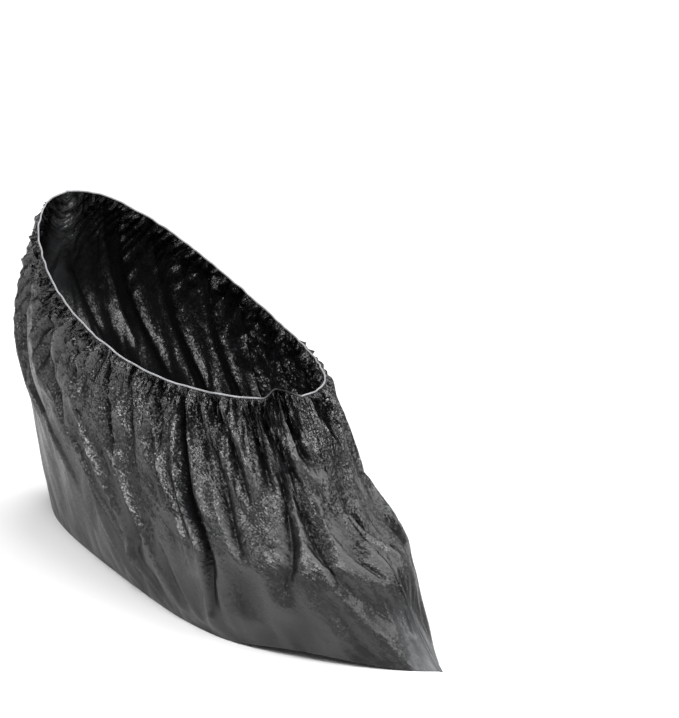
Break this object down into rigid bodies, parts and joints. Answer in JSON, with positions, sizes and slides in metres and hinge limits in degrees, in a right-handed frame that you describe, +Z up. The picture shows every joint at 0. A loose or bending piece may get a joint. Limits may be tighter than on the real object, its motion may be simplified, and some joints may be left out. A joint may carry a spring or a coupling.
{
  "type": "disposable shoe cover",
  "caption": "Worn disposable shoe cover: a folded bag of thin black film with welded heel and toe seams, gathered round the ankle by an elastic.",
  "frame": {"origin": "on the inner sole, where the heel of the wearer's shoe stands", "axes": "+X towards the toe seam, +Y towards the wearer's left, +Z up"},
  "size_m": [0.3866, 0.1321, 0.1876],
  "materials": {
    "black_film": "embossed, crinkled, half gloss",
    "grey_elastic": "matt"
  },
  "bodies": {
    "root": {"film_body": "black_film", "elastic_band": "grey_elastic"}
  },
  "joints": []
}
